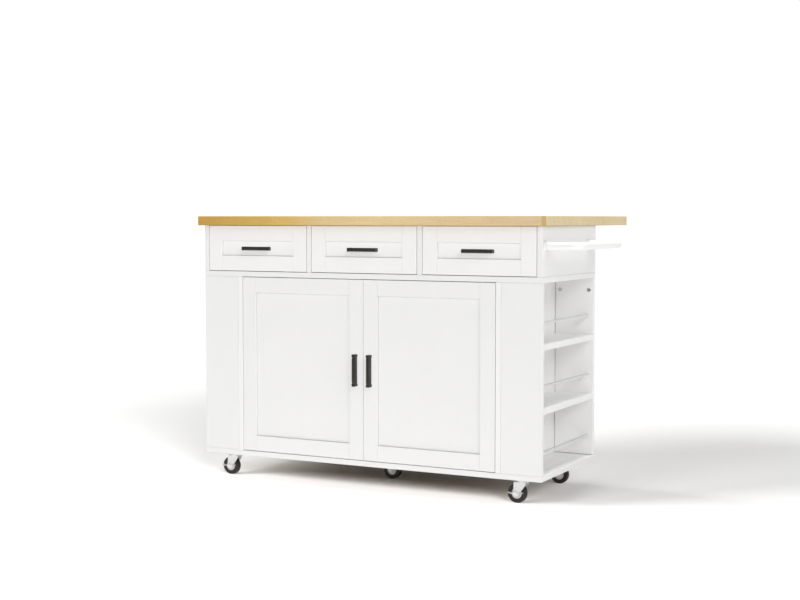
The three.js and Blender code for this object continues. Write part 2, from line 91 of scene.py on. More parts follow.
def mm(*points):
    """The points of a profile or an outline, given in millimetres."""
    return [(x * MM, y * MM) for x, y in points]


def soften(bm, edges, offset, segments):
    """Rounds edges, unless the offset is nothing."""
    if offset:
        bmesh.ops.bevel(
            bm, geom=list(edges), offset=offset, segments=segments, profile=0.5,
            affect="EDGES", clamp_overlap=True,
        )


def box(bm, low, high, edge=BOARD_EDGE, segments=2):
    """A block between two corners, with rounded edges."""
    verts = bmesh.ops.create_cube(bm, size=1.0)["verts"]
    for vert in verts:
        vert.co = [a + (c + 0.5) * (b - a) for a, b, c in zip(low, high, vert.co)]
    soften(bm, {e for vert in verts for e in vert.link_edges}, edge, segments)


def skin(bm, rings, looped=False):
    """Joins rings of points with faces. A ring of one point makes a tip."""
    pairs = list(zip(rings, rings[1:]))
    if looped:
        pairs.append((rings[-1], rings[0]))
    for first, second in pairs:
        count = max(len(first), len(second))
        for i in range(count):
            j = (i + 1) % count
            corners = [first[i % len(first)], first[j % len(first)]]
            corners += [second[j % len(second)], second[i % len(second)]]
            unique = list(dict.fromkeys(corners))
            if len(unique) > 2:
                bm.faces.new(unique)


def ring(bm, place, radii, height):
    """Points round the local Z of place at a height, one for each radius."""
    points = []
    for k, radius in enumerate(radii):
        angle = 2 * math.pi * k / len(radii)
        point = Vector((radius * math.cos(angle), radius * math.sin(angle), height))
        points.append(bm.verts.new(place @ point))
    return points


def turned(bm, profile, place, segments, looped=False):
    """A solid of revolution about the local Z of place, from (radius, height) points."""
    rings = []
    for radius, height in profile:
        count = segments if radius else 1
        rings.append(ring(bm, place, [radius] * count, height))
    skin(bm, rings, looped)


def rod(bm, start, end, radius, edge=METAL_EDGE, segments=32):
    """A round bar between two points, with its end edges rounded."""
    start, end = Vector(start), Vector(end)
    length = (end - start).length
    profile = [(0, 0), (radius - edge, 0), (radius, edge)]
    profile += [(radius, length - edge), (radius - edge, length), (0, length)]
    turned(bm, profile, placed(start, end - start), segments)


def prism(bm, outline, depth, place, edge=METAL_EDGE, segments=2):
    """An outline in the local X and Y of place, given a depth along its local Z."""
    base = [bm.verts.new(place @ Vector((x, y, 0))) for x, y in outline]
    top = [bm.verts.new(place @ Vector((x, y, depth))) for x, y in outline]
    skin(bm, [base, top])
    caps = [bm.faces.new(list(reversed(base))), bm.faces.new(top)]
    soften(bm, {e for face in caps for e in face.edges}, edge, segments)


def arc(centre, radius, start, end, steps):
    """Points on a circle from one angle to another, in degrees."""
    points = []
    for k in range(steps + 1):
        angle = math.radians(start + (end - start) * k / steps)
        points.append((centre[0] + radius * math.cos(angle), centre[1] + radius * math.sin(angle)))
    return points


def rounded_rectangle(width, height, radius, steps=5):
    """The outline of a rectangle with round corners, centred on the origin."""
    points = []
    for turn, (sx, sy) in enumerate(((1, 1), (-1, 1), (-1, -1), (1, -1))):
        centre = (sx * (width / 2 - radius), sy * (height / 2 - radius))
        points += arc(centre, radius, 90 * turn, 90 * turn + 90, steps)
    return points


def screw(bm, at, normal, radius, height):
    """A round screw head with a cross recess, standing on a surface."""
    place = placed(at, normal)
    segments = 32
    quarter = segments // 4
    arm, web = 0.58 * radius, 0.2 * radius
    cross = [arm if k % quarter in (0, 1, quarter - 1) else web for k in range(segments)]
    recess = 0.45 * height
    rings = [ring(bm, place, [0], 0)]
    for share, lift in ((1.0, 0.0), (0.98, 0.45), (0.8, 0.85)):
        rings.append(ring(bm, place, [share * radius] * segments, lift * height))
    rings.append(ring(bm, place, cross, height))
    rings.append(ring(bm, place, [0.9 * r for r in cross], recess))
    rings.append(ring(bm, place, [0], recess))
    skin(bm, rings)


def add_object(name, data):
    """A new object in the scene."""
    thing = bpy.data.objects.new(name, data)
    scene.collection.objects.link(thing)
    return thing


def mesh_object(name, bm, material):
    """Turns a finished mesh into an object."""
    mesh = bpy.data.meshes.new(name)
    bm.to_mesh(mesh)
    bm.free()
    mesh.materials.append(material)
    return add_object(name, mesh)


def piece(name, bm, material, body, replaces=()):
    """Turns a finished mesh into a named piece that rides on a body."""
    bmesh.ops.recalc_face_normals(bm, faces=bm.faces)
    thing = mesh_object(name, bm, material)
    thing.data.shade_smooth()
    thing.data.set_sharp_from_angle(angle=SHARP_ANGLE)
    thing.modifiers.new("even normals", "WEIGHTED_NORMAL").keep_sharp = True
    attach(thing, body)
    if replaces:
        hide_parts(*replaces)
    return thing


# ---- node materials


class Graph:
    """A procedural material, with short calls for the nodes that it uses."""

    def __init__(self, name, metallic=0.0, roughness=0.5):
        self.material = bpy.data.materials.new(name)
        self.material.use_nodes = True
        self.tree = self.material.node_tree
        self.shader = self.tree.nodes["Principled BSDF"]
        self.shader.inputs["Metallic"].default_value = metallic
        self.shader.inputs["Roughness"].default_value = roughness
        self.place = self.add("ShaderNodeTexCoord").outputs["Object"]

    def add(self, kind, inputs=None, **settings):
        node = self.tree.nodes.new(kind)
        for key, value in settings.items():
            setattr(node, key, value)
        for key, value in (inputs or {}).items():
            if isinstance(value, bpy.types.NodeSocket):
                self.tree.links.new(value, node.inputs[key])
            else:
                node.inputs[key].default_value = value
        return node

    def math(self, operation, *values):
        return self.add("ShaderNodeMath", dict(enumerate(values)), operation=operation).outputs[0]

    def blend(self, first, share, second):
        """A share of one value, and the rest of another."""
        rest = self.math("MULTIPLY", second, 1.0 - share)
        return self.math("ADD", self.math("MULTIPLY", first, share), rest)

    def scaled(self, factors, start):
        """A place, stretched by a factor on each axis."""
        inputs = {0: start, 1: factors}
        return self.add("ShaderNodeVectorMath", inputs, operation="MULTIPLY").outputs[0]

    def noise(self, scale, detail, roughness=0.5, distortion=0.0, start=None):
        """Noise over the object, with one scale or with one for each axis."""
        vector = start or self.place
        if isinstance(scale, tuple):
            vector, scale = self.scaled(scale, vector), 1.0
        inputs = {
            "Vector": vector, "Scale": scale, "Detail": detail,
            "Roughness": roughness, "Distortion": distortion,
        }
        return self.add("ShaderNodeTexNoise", inputs).outputs["Fac"]

    def ramp(self, value, *stops):
        """A colour ramp through (position, colour) stops."""
        node = self.add("ShaderNodeValToRGB", {"Fac": value})
        elements = node.color_ramp.elements
        while len(elements) < len(stops):
            elements.new(0.5)
        for element, (position, colour) in zip(elements, stops):
            element.position = position
            element.color = (*colour, 1.0)
        return node.outputs["Color"]

    def span(self, value, low, high, to_low, to_high):
        """Maps a range of values to another, held at both ends."""
        inputs = {
            "Value": value, "From Min": low, "From Max": high, "To Min": to_low, "To Max": to_high,
        }
        return self.add("ShaderNodeMapRange", inputs).outputs["Result"]

    def mix(self, share, first, second, blend="MIX"):
        """Mixes two colours, each a socket or three numbers."""
        first, second = [(*c, 1.0) if isinstance(c, tuple) else c for c in (first, second)]
        inputs = {0: share, 6: first, 7: second}
        return self.add("ShaderNodeMix", inputs, data_type="RGBA", blend_type=blend).outputs[2]

    def bump(self, height, distance, strength, under=None):
        inputs = {"Height": height, "Distance": distance, "Strength": strength}
        if under:
            inputs["Normal"] = under
        return self.add("ShaderNodeBump", inputs).outputs["Normal"]

    def finish(self, colour, normal=None, rough=None):
        for key, value in (("Base Color", colour), ("Normal", normal), ("Roughness", rough)):
            if value is not None:
                self.tree.links.new(value, self.shader.inputs[key])
        return self.material


def satin_paint(name, light, shade, gloss=0.36):
    """Sprayed satin paint: a faint drift of tone, orange peel and uneven gloss."""
    g = Graph(name)
    drift = g.noise(2.2, 3.0)
    cloud = g.noise(26.0, 2.0)
    tone = g.blend(drift, 0.7, cloud)
    colour = g.ramp(tone, (0.36, shade), (0.62, light))
    peel = g.noise(620.0, 2.0, 0.55)
    roller = g.noise(90.0, 2.0)
    rough = g.span(cloud, 0.3, 0.7, gloss, gloss + 0.12)
    normal = g.bump(peel, 0.05 * MM, 0.35, g.bump(roller, 0.12 * MM, 0.25))
    return g.finish(colour, normal, rough)


STAVE_WIDTH = 41 * MM
STAVE_LENGTH = 430 * MM
FIRST_SEAM = 18 * MM  # from the worktop's front edge to the first seam between staves
FIRST_LANE = 20.45  # puts a seam there
FINGER_PITCH = 7 * MM
FINGER_LENGTH = 9 * MM
TOP_TONES = (  # from the left end of the worktop to its right end
    (0.01, (0.67, 0.402, 0.082)),
    (0.19, (0.745, 0.505, 0.128)),
    (0.28, (0.775, 0.53, 0.16)),
    (0.37, (0.835, 0.63, 0.315)),
    (0.6, (0.885, 0.71, 0.405)),
    (0.83, (0.86, 0.665, 0.4)),
    (1.0, (0.835, 0.66, 0.43)),
)
END_FACE_PAINTED_LIGHT = (0.845, 0.71, 0.45)  # a paler tone painted on the right end's face, as painted light for the lesser light that it gets
CORNER_TONE = (0.71, 0.5, 0.19)  # of the right end's front corner
CORNER_WIDTH, CORNER_DEPTH = 4 * MM, 28 * MM


def stave_wood():
    """Oiled board glued up from finger-jointed staves that run along X. Its right end's face is
    painted paler as painted light, and its lower arris darker as painted shade.
    """
    g = Graph("oiled_stave_wood")
    top_low, top_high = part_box("worktop")
    x, y, z = g.add("ShaderNodeSeparateXYZ", {0: g.place}).outputs
    lane_place = g.math("ADD", g.math("DIVIDE", y, STAVE_WIDTH), FIRST_LANE)
    lane = g.math("FLOOR", lane_place)
    lane_random = g.add("ShaderNodeTexWhiteNoise", {"W": lane}, noise_dimensions="1D").outputs["Value"]
    zigzag = g.math("PINGPONG", y, FINGER_PITCH / 2)
    notched = g.math("MULTIPLY_ADD", zigzag, 2 * FINGER_LENGTH / FINGER_PITCH, x)
    lane_start = g.math("MULTIPLY_ADD", lane_random, 5.7, 8.0)
    along = g.math("ADD", g.math("DIVIDE", notched, STAVE_LENGTH), lane_start)
    stave = g.math("FLOOR", along)
    ident = g.add("ShaderNodeCombineXYZ", {"X": lane, "Y": stave}).outputs[0]
    stave_random = g.add("ShaderNodeTexWhiteNoise", {"Vector": ident}).outputs

    shift = g.scaled((7.0, 3.0, 5.0), stave_random["Color"])
    own = g.add("ShaderNodeVectorMath", {0: g.place, 1: shift}).outputs[0]
    figure = g.noise((3.2, 46.0, 46.0), 5.0, 0.6, 0.7, own)
    fibre = g.noise((14.0, 420.0, 420.0), 4.0, 0.6, 0.0, own)
    pores = g.noise((60.0, 1500.0, 1500.0), 1.0, 0.5, 0.0, own)

    left_to_right = g.span(x, top_low.x, top_high.x, 0.0, 1.0)
    any_stave = g.math("MULTIPLY_ADD", stave_random["Value"], 0.5, 0.38)
    front_lane = g.math("LESS_THAN", y, top_low.y + FIRST_SEAM)
    along_top = g.span(front_lane, 0.0, 1.0, any_stave, left_to_right)
    drift = g.math("MULTIPLY_ADD", figure, 0.3, -0.15)
    tone = g.ramp(g.math("ADD", along_top, drift), *TOP_TONES)
    # painted light: the right end's face is made paler, for the lesser light that it gets
    end_face = g.math("GREATER_THAN", x, top_high.x - MM)
    tone = g.mix(end_face, tone, END_FACE_PAINTED_LIGHT)
    at_end = g.math("GREATER_THAN", x, top_high.x - CORNER_WIDTH)
    at_front = g.math("LESS_THAN", y, top_low.y + CORNER_DEPTH)
    tone = g.mix(g.math("MULTIPLY", at_end, at_front), tone, CORNER_TONE)
    fleck = g.span(pores, 0.62, 0.72, 0.0, 0.5)
    lane_edge = g.math("PINGPONG", lane_place, 0.5)
    lane_seam = g.span(lane_edge, 0.0, 0.3 * MM / STAVE_WIDTH, 0.6, 0.0)
    end_edge = g.math("PINGPONG", along, 0.5)
    end_seam = g.span(end_edge, 0.0, 0.25 * MM / STAVE_LENGTH, 0.6, 0.0)
    seam = g.math("MAXIMUM", lane_seam, end_seam)
    # painted shade: the lowest 2.4 mm of the worktop are darkened, where shade falls under its edge
    arris_painted_shade = g.span(z, top_low.z + 0.6 * MM, top_low.z + 2.4 * MM, 0.75, 0.0)
    layers = (  # how much of each layer there is, and what it multiplies the tone by
        (g.span(stave_random["Value"], 0.0, 1.0, 0.0, 0.5), (0.93, 0.88, 0.78)),
        (g.span(figure, 0.36, 0.7, 0.0, 0.8), (0.9, 0.85, 0.74)),
        (g.span(fibre, 0.35, 0.7, 0.5, 0.0), (0.88, 0.84, 0.76)),
        (fleck, (0.62, 0.52, 0.38)),
        (seam, (0.55, 0.45, 0.32)),
        (arris_painted_shade, (0.45, 0.4, 0.32)),
    )
    for share, shade in layers:
        tone = g.mix(share, tone, shade, "MULTIPLY")
    rough = g.math("ADD", g.span(fibre, 0.3, 0.7, 0.36, 0.48), g.math("MULTIPLY", seam, 0.2))
    relief = g.math("SUBTRACT", g.math("MULTIPLY", fibre, 0.5), g.math("ADD", fleck, seam))
    return g.finish(tone, g.bump(relief, 0.08 * MM, 0.6), rough)


def underside_shade_board():
    """Painted shade: a bare brown board face of pressed fibres, put under the bottom board so that the
    floor under the cabinet lies in darker, warmer shade.
    """
    g = Graph("underside_shade_fibre_board", roughness=0.85)
    fibres = g.noise((160.0, 90.0, 160.0), 5.0, 0.65, 0.6)
    tone = g.blend(fibres, 0.7, g.noise(7.0, 3.0))
    colour = g.ramp(tone, (0.36, (0.13, 0.088, 0.052)), (0.64, (0.24, 0.17, 0.105)))
    return g.finish(colour, g.bump(fibres, 0.1 * MM, 0.5))


def drawer_board():
    """Pale laminated board with a faint printed grain in level lines."""
    g = Graph("laminated_board")
    grain = g.noise((9.0, 9.0, 260.0), 4.0, 0.6, 0.3)
    drift = g.noise(5.0, 2.0)
    base = g.ramp(grain, (0.35, (0.7, 0.655, 0.57)), (0.65, (0.79, 0.755, 0.685)))
    colour = g.mix(g.span(drift, 0.3, 0.7, 0.0, 0.25), base, (0.82, 0.79, 0.73))
    rough = g.span(grain, 0.3, 0.7, 0.5, 0.62)
    return g.finish(colour, g.bump(grain, 0.05 * MM, 0.3), rough)


def brushed(g, along, slow, fine):
    """Streaks along one axis: noise that is slow along it and fine across it."""
    stretch = tuple(slow if axis == along else fine for axis in "xyz")
    return g.noise(stretch, 3.0, 0.6)


def brushed_metal(name, dark, light, along, roughness):
    """Metal with fine streaks along one axis, and slow patches of tone."""
    g = Graph(name, 1.0)
    streaks = brushed(g, along, 18.0, 2600.0)
    tone = g.blend(streaks, 0.65, g.noise(55.0, 3.0))
    colour = g.ramp(tone, (0.34, dark), (0.64, light))
    rough = g.span(tone, 0.32, 0.66, roughness - 0.07, roughness + 0.09)
    return g.finish(colour, g.bump(streaks, 0.02 * MM, 0.4), rough)


def dark_lacquer(name, along):
    """Dark bronze lacquer over metal that was brushed along one axis."""
    g = Graph(name)
    streaks = brushed(g, along, 30.0, 2200.0)
    tone = g.blend(streaks, 0.6, g.noise(48.0, 3.0))
    colour = g.ramp(tone, (0.36, (0.02, 0.0165, 0.0128)), (0.64, (0.042, 0.036, 0.029)))
    rough = g.span(tone, 0.34, 0.66, 0.26, 0.38)
    g.shader.inputs["Specular IOR Level"].default_value = 0.22
    return g.finish(colour, g.bump(streaks, 0.02 * MM, 0.35), rough)


def zinc_plate(name, dark, light, roughness, metallic=0.92):
    """Zinc plating: small cloudy grains with their own gloss."""
    g = Graph(name, metallic)
    grains = g.add("ShaderNodeTexVoronoi", {"Vector": g.place, "Scale": 420.0}).outputs["Color"]
    grey = g.add("ShaderNodeSeparateColor", {0: grains}).outputs[0]
    cloud = g.noise(85.0, 4.0, 0.6)
    tone = g.blend(grey, 0.3, cloud)
    colour = g.ramp(tone, (0.3, dark), (0.66, light))
    rough = g.span(tone, 0.25, 0.7, roughness - 0.06, roughness + 0.12)
    return g.finish(colour, g.bump(cloud, 0.05 * MM, 0.3), rough)


def moulded(name, dark, light, roughness):
    """Moulded rubber or plastic: a fine grain over a slow drift of tone."""
    g = Graph(name)
    fine = g.noise(900.0, 3.0, 0.6)
    cloud = g.noise(60.0, 3.0, 0.55)
    tone = g.blend(fine, 0.3, cloud)
    colour = g.ramp(tone, (0.36, dark), (0.66, light))
    rough = g.span(cloud, 0.3, 0.7, roughness - 0.06, roughness + 0.08)
    return g.finish(colour, g.bump(fine, 0.06 * MM, 0.35), rough)


paint = satin_paint("satin_white_paint", (0.925, 0.923, 0.917), (0.908, 0.906, 0.9))
# painted light: a paler copy of the white paint, for the niche's back boards and partitions and the
# drawer fronts, which get less light
paint_lit_copy = satin_paint("satin_white_paint_lit_copy", (0.965, 0.963, 0.957), (0.95, 0.948, 0.942))
tube_paint = satin_paint("white_powder_coat", (0.94, 0.938, 0.932), (0.925, 0.923, 0.917), 0.3)
# painted shade: a darker copy of the white paint on the guard rods, for the shade in the niches
rod_paint_shaded = satin_paint("guard_rod_paint_shaded", (0.77, 0.768, 0.76), (0.74, 0.738, 0.73), 0.4)
wood = stave_wood()
inner_board = drawer_board()
bronze_across = dark_lacquer("dark_bronze_x", "x")
# the dark bronze along Z also serves as the painted shade in the cam locks' wells
bronze_z_and_well_shade = dark_lacquer("dark_bronze_z_and_well_shade", "z")
runner_steel = brushed_metal("runner_steel", (0.5, 0.51, 0.52), (0.72, 0.73, 0.74), "y", 0.34)
hinge_steel = brushed_metal("hinge_steel", (0.55, 0.55, 0.54), (0.8, 0.79, 0.77), "x", 0.28)
zinc = zinc_plate("zinc_plating", (0.82, 0.82, 0.815), (0.93, 0.93, 0.925), 0.36, 0.2)
nickel = zinc_plate("nickel_screws", (0.55, 0.54, 0.52), (0.78, 0.77, 0.74), 0.24)
rubber = moulded("tyre_rubber", (0.008, 0.006, 0.005), (0.02, 0.014, 0.012), 0.5)
# painted shade: the dark brown board face under the cabinet
underside_shade_fibres = underside_shade_board()
hub_plastic = moulded("pale_hub_plastic", (0.68, 0.665, 0.63), (0.79, 0.775, 0.74), 0.42)
white_plastic = moulded("white_nylon", (0.76, 0.76, 0.74), (0.84, 0.84, 0.82), 0.4)


# ---- top and carcass


def make_boards():
    """Every flat board. A thin gap stays at the edges of the niche columns' back boards."""
    top_edge = 1.4 * MM
    for node in ("worktop", "drop_leaf"):
        bm = bmesh.new()
        box(bm, *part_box(node), top_edge, 4)
        piece(f"{node}_staves", bm, wood, body_of_node[node], [node])
    shadow_gap, foot_gap = 1.5 * MM, 1.2 * MM
    for node in bodies["cabinet"]:
        if slots[node] != "white_paint":
            continue
        low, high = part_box(node)
        if node.startswith("column_back"):
            low.z += foot_gap
            if node.endswith("left"):
                high.x -= shadow_gap
            else:
                low.x += shadow_gap
        bm = bmesh.new()
        box(bm, low, high)
        # painted light: the niche's back boards and partitions take the paler copy of the paint
        coat = paint_lit_copy if node.startswith(("column_back", "partition")) else paint
        piece(f"{node}_panel", bm, coat, "cabinet", [node])
    # painted shade: a dark brown sheet just under the bottom board, for the shade on the floor under
    # the cabinet
    low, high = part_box("bottom_board")
    inset, above, below = 1.2 * MM, 0.2 * MM, 0.3 * MM
    bm = bmesh.new()
    bare_low = (low.x + inset, low.y + inset, low.z - below)
    box(bm, bare_low, (high.x - inset, high.y - inset, low.z + above), 0)
    piece("bottom_board_shade_sheet", bm, underside_shade_fibres, "cabinet")


def make_shelf_pins():
    """Four pins hold the shelf inside the cabinet."""
    low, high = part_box("cabinet_shelf")
    pin_radius, pin_length, inset, gap = 2.5 * MM, 9 * MM, 45 * MM, 0.2 * MM
    bm = bmesh.new()
    for x, inward in ((low.x, 1), (high.x, -1)):
        for y in (low.y + inset, high.y - inset):
            centre = Vector((x, y, low.z - pin_radius - gap))
            rod(bm, centre, centre + inward * pin_length * RIGHT, pin_radius)
    piece("shelf_pins", bm, nickel, "cabinet")


CAM_DROP = 42 * MM  # below the top of the column
CAMS = ((17.3 * MM, 90, 4.6 * MM), (122 * MM, 20, 2.6 * MM))  # from the edge, turn, well's radius


def make_cams():
    """Cam locks in the niche columns, under the drawers: a plated ring round a well, whose shade is
    painted as a flat dark disc.
    """
    for side, name in SIDES:
        rings, well_shade_discs = bmesh.new(), bmesh.new()
        for column, facing in (("front", BACK), ("back", FRONT)):
            low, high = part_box(f"column_{column}_{name}")
            face = high.y if facing == BACK else low.y
            for from_edge, turn, well in CAMS:
                x = high.x - from_edge if side > 0 else low.x + from_edge
                place = placed((x, face, high.z - CAM_DROP), facing)
                place = place @ Matrix.Rotation(math.radians(turn), 4, "Z")
                rim = [(well, 0)] + mm((7.3, 0), (7.5, 0.3), (7, 0.7)) + [(well, 0.6 * MM)]
                turned(rings, rim, place, 40, True)
                blade = rounded_rectangle(2 * well, 1.9 * MM, 0.6 * MM, 3)
                prism(rings, blade, 0.6 * MM, place, 0)
                # painted shade: a flat dark disc at the foot of the ring stands for the shade down in
                # the well
                floor_lift, wall = 0.15 * MM, well + 0.1 * MM
                turned(well_shade_discs, [(0, floor_lift), (wall, floor_lift), (wall, 0)], place, 32)
        piece(f"cam_locks_{name}", rings, nickel, "cabinet")
        piece(f"cam_well_shades_{name}", well_shade_discs, bronze_z_and_well_shade, "cabinet")


# ---- doors and drawers


PANEL_RECESS = 5.2 * MM
GROOVE_WIDTH = 1.3 * MM  # between a panel and the frame round it
GROOVE_DEPTH = 2.6 * MM


def framed_front(node, stile, rail, taller):
    """A front with two full-height stiles, two rails between them and a grooved-in panel."""
    low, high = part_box(node)
    wider, lower, seam, edge, lap = 0.6 * MM, 0.4 * MM, 0.12 * MM, 0.7 * MM, 0.5 * MM
    low.x -= wider
    high.x += wider
    low.z -= lower
    high.z += taller
    panel_front = low.y + PANEL_RECESS
    slab_front = panel_front + GROOVE_DEPTH
    inner_left, inner_right = low.x + stile, high.x - stile
    inner_low, inner_high = low.z + rail, high.z - rail
    bm = bmesh.new()
    box(bm, (low.x, slab_front, low.z), high, edge)
    panel_low = (inner_left + GROOVE_WIDTH, panel_front, inner_low + GROOVE_WIDTH)
    panel_high = (inner_right - GROOVE_WIDTH, slab_front + lap, inner_high - GROOVE_WIDTH)
    box(bm, panel_low, panel_high, 0.4 * MM)
    strips = [(low.x, inner_left, low.z, high.z), (inner_right, high.x, low.z, high.z)]
    for z0, z1 in ((low.z, inner_low), (inner_high, high.z)):
        strips.append((inner_left + seam, inner_right - seam, z0, z1))
    for x0, x1, z0, z1 in strips:
        box(bm, (x0, low.y, z0), (x1, slab_front + lap, z1), edge)
    # painted light: the drawer fronts take the paler copy of the paint
    coat = paint_lit_copy if node.startswith("drawer") else paint
    piece(f"{node}_frame", bm, coat, body_of_node[node], [node])


PULL_BAR_DEPTH = 14 * MM
PULL_STEM = 8 * MM
PULL_BLOCK = 10 * MM
PULL_CHAMFER = 2.7 * MM
PULL_BLOCK_CHAMFER = 1.6 * MM
PULL_GROOVE = 0.35 * MM  # between the bar and its end blocks
PULL_SCREW_SPACING = 96 * MM


def make_pull(node, upright):
    """A square bar on a stem, between two end blocks that reach down to the board."""
    low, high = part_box(node)
    centre = (low + high) / 2
    long_axis, short_axis = (2, 0) if upright else (0, 2)
    half_length = (high - low)[long_axis] / 2
    half_width = (high - low)[short_axis] / 2
    depth = high.y - low.y
    bm = bmesh.new()

    def block(start, end, across, near, far, edge, segments=2):
        """A block by its ends along the bar, half its width and its distances from the board."""
        a, b = Vector(centre), Vector(centre)
        a[long_axis] += start
        b[long_axis] += end
        a[short_axis] -= across
        b[short_axis] += across
        a.y, b.y = high.y - far, high.y - near
        box(bm, a, b, edge, segments)

    inner = half_length - PULL_BLOCK
    bar = inner - PULL_GROOVE
    bar_half = half_width - 0.1 * MM
    under_bar = depth - PULL_BAR_DEPTH
    block(-bar, bar, bar_half, under_bar, depth, PULL_CHAMFER, 1)
    block(-inner, inner, PULL_STEM / 2, 0, under_bar + MM, 0.3 * MM)
    core = bar_half - PULL_CHAMFER
    block(-inner - MM, inner + MM, core, under_bar + MM, depth - 0.5 * MM, 0.3 * MM)
    for end in (-1, 1):
        start, stop = sorted((end * inner, end * half_length))
        block(start, stop, half_width, 0, depth, PULL_BLOCK_CHAMFER, 1)
    lacquer = bronze_z_and_well_shade if upright else bronze_across
    pull = piece(f"{node}_bar", bm, lacquer, body_of_node[node], [node])
    pull.visible_diffuse = False  # keeps the white boards round it free of a dark halo


def make_pull_screws(pull_node, face_y, upright):
    """Two screw heads on the hidden side of the board that carries a pull."""
    low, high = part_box(pull_node)
    centre = (low + high) / 2
    along = UP if upright else RIGHT
    bm = bmesh.new()
    for end in (-1, 1):
        at = Vector((centre.x, face_y, centre.z)) + end * PULL_SCREW_SPACING / 2 * along
        screw(bm, at, BACK, 4 * MM, 1.8 * MM)
    piece(f"{pull_node}_screws", bm, nickel, body_of_node[pull_node])


def make_doors():
    door_frame, taller = 53.4 * MM, 0.4 * MM
    for side, name in SIDES:
        node = f"door_{name}"
        framed_front(node, door_frame, door_frame, taller)
        make_pull(f"door_pull_{name}", True)
        make_pull_screws(f"door_pull_{name}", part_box(node)[1].y, True)
        make_door_hinges(side, name)


def make_door_hinges(side, name):
    """Two concealed hinges: a cup with wings on the door, a plate and an arm on the partition."""
    door_low, door_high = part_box(f"door_{name}")
    wall_low, wall_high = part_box(f"partition_{name}")
    wall = wall_low.x if side > 0 else wall_high.x
    door_edge = door_high.x if side > 0 else door_low.x
    door_back = door_high.y
    from_end, cup_inset = 95 * MM, 22.5 * MM
    cup_x = door_edge - side * cup_inset
    inward = -side * RIGHT
    plate, arm = (0, 2.2 * MM, 52 * MM, 24 * MM), (2 * MM, 4.5 * MM, 64 * MM, 7 * MM)
    for level, z in (("lower", door_low.z + from_end), ("upper", door_high.z - from_end)):
        cups = bmesh.new()
        wing, wing_sheet = rounded_rectangle(13 * MM, 58 * MM, 5 * MM), 1.2 * MM
        prism(cups, wing, wing_sheet, oriented((cup_x, door_back, z), RIGHT, DOWN, BACK), 0.3 * MM)
        dish = mm((0, 0.4), (12.5, 0.4), (13.5, 1.4), (15, 2), (16.8, 2), (17.5, 1.4), (17.5, 0))
        turned(cups, dish, placed((cup_x, door_back, z), BACK), 48)
        for end in (-1, 1):
            at = (cup_x, door_back + wing_sheet, z + end * 23 * MM)
            screw(cups, at, BACK, 3.4 * MM, 1.2 * MM)
        piece(f"hinge_cup_{name}_{level}", cups, hinge_steel, f"door_{name}")

        arms = bmesh.new()
        for near, far, end, half_height in (plate, arm):
            x0, x1 = sorted((wall - side * near, wall - side * far))
            low = (x0, door_back + 22 * MM, z - half_height)
            box(arms, low, (x1, door_back + end, z + half_height), METAL_EDGE)
        elbow = cup_inset / MM + 2.4
        outline = mm(
            (4.4, 64), (4.4, 22), (8, 12), (elbow - 4, 8), (elbow - 4, 2.6),
            (elbow + 4, 2.6), (elbow + 4, 10), (16, 15), (11.5, 24), (11.5, 62), (9.5, 64),
        )
        corners = [(wall - side * x, door_back + y) for x, y in outline]
        prism(arms, corners, 11 * MM, Matrix.Translation((0, 0, z - 5.5 * MM)), METAL_EDGE)
        for offset in (-16.5 * MM, 16.5 * MM):
            at = (wall - side * plate[1], door_back + 36 * MM, z + offset)
            screw(arms, at, inward, 3.8 * MM, 1.6 * MM)
        for y in (34 * MM, 52 * MM):
            at = (wall - side * 11.5 * MM, door_back + y, z)
            screw(arms, at, inward, 3.2 * MM, 0.9 * MM)
        piece(f"hinge_arm_{name}_{level}", arms, hinge_steel, "cabinet")


DRAWER_WALL = 12 * MM


def make_drawers():
    stile, rail, taller = 53 * MM, 52.4 * MM, 1.2 * MM
    for name in DRAWERS:
        framed_front(f"drawer_front_{name}", stile, rail, taller)
        make_pull(f"drawer_pull_{name}", False)
        make_drawer_box(name)
        inner_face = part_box(f"drawer_box_{name}")[0].y + DRAWER_WALL
        make_pull_screws(f"drawer_pull_{name}", inner_face, False)
        make_runners(name)


def make_drawer_box(name):
    """Two sides that run past the front and the back, over a floor let into them."""
    node = f"drawer_box_{name}"
    low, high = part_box(node)
    edge, let_in = 0.9 * MM, MM
    floor_low, floor_high = low.z + 10 * MM, low.z + 16 * MM
    left, right = low.x + DRAWER_WALL, high.x - DRAWER_WALL
    front, back = low.y + DRAWER_WALL, high.y - DRAWER_WALL
    bm = bmesh.new()
    for x0, x1 in ((low.x, left), (right, high.x)):
        box(bm, (x0, low.y, low.z), (x1, high.y, high.z), edge)
    for y0, y1 in ((low.y, front), (back, high.y)):
        box(bm, (left, y0, low.z), (right, y1, high.z), edge)
    floor_corner = (right + let_in, back + let_in, floor_high)
    box(bm, (left - let_in, front - let_in, floor_low), floor_corner, 0)
    piece(f"{node}_boards", bm, inner_board, f"drawer_{name}", [node])


def channel(height, depth, lip, sheet):
    """A C section that opens toward +X: its back is on X = 0."""
    half = height / 2
    upper = [
        (sheet, half - sheet), (depth - sheet, half - sheet), (depth - sheet, half - lip),
        (depth, half - lip), (depth, half), (0, half),
    ]
    return [(x, -y) for x, y in reversed(upper)] + upper


